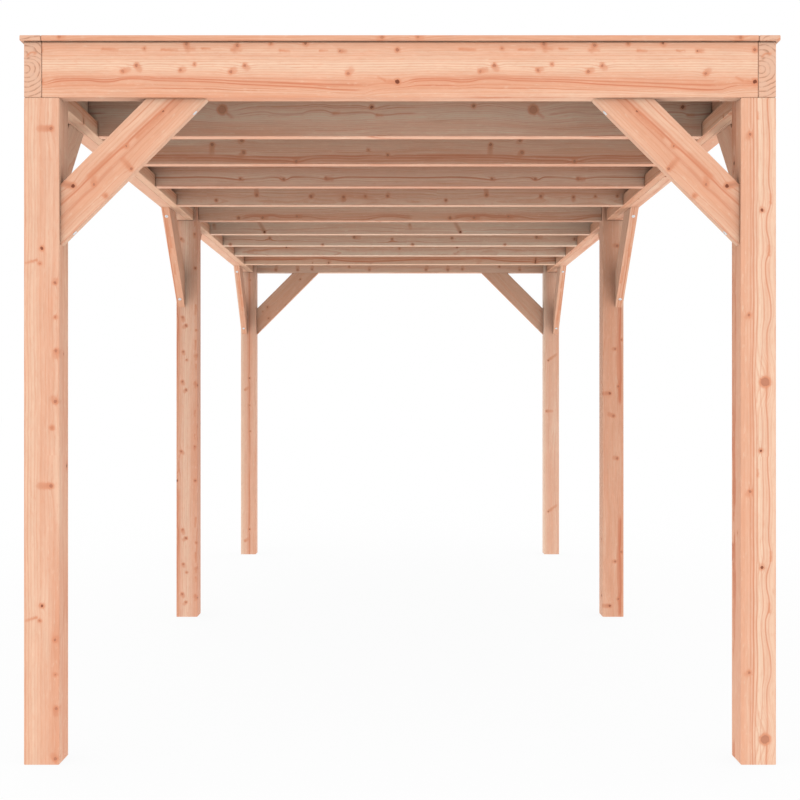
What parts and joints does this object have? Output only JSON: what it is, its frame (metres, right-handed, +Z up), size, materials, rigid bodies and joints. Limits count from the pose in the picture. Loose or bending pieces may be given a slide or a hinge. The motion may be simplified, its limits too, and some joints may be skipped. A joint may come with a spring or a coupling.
{
  "type": "garden canopy",
  "caption": "Open flat-roofed garden canopy: timber posts with angled braces carry a ring of deep beams, cross joists, a boarded deck, a rubber roof skin and capping boards.",
  "frame": {"origin": "on the ground at the middle of the plan, under the centre of the roof", "axes": "+Z up; X across the canopy; Y along its length, with the pictured front end towards -Y"},
  "size_m": [3.008, 7.028, 2.8875],
  "materials": {
    "timber": "planed, untreated, satin",
    "deck_boards": "planed, untreated, satin",
    "roof_rubber": "matt",
    "screw_steel": "zinc plated"
  },
  "bodies": {
    "root": {"post_front_left": "timber", "post_front_right": "timber", "post_middle_left": "timber", "post_middle_right": "timber", "post_rear_left": "timber", "post_rear_right": "timber", "beam_front": "timber", "beam_rear": "timber", "beam_left": "timber", "beam_right": "timber", "ledger_left": "timber", "ledger_right": "timber", "joist_1": "timber", "joist_2": "timber", "joist_3": "timber", "joist_4": "timber", "joist_5": "timber", "joist_6": "timber", "joist_7": "timber", "joist_8": "timber", "joist_9": "timber", "end_brace_front_left": "timber", "end_brace_front_right": "timber", "end_brace_rear_left": "timber", "end_brace_rear_right": "timber", "side_brace_left_1": "timber", "side_brace_left_2": "timber", "side_brace_left_3": "timber", "side_brace_left_4": "timber", "side_brace_right_1": "timber", "side_brace_right_2": "timber", "side_brace_right_3": "timber", "side_brace_right_4": "timber", "roof_deck": "deck_boards", "roof_skin": "roof_rubber", "cap_front": "timber", "cap_rear": "timber", "cap_left": "timber", "cap_right": "timber"}
  },
  "joints": []
}
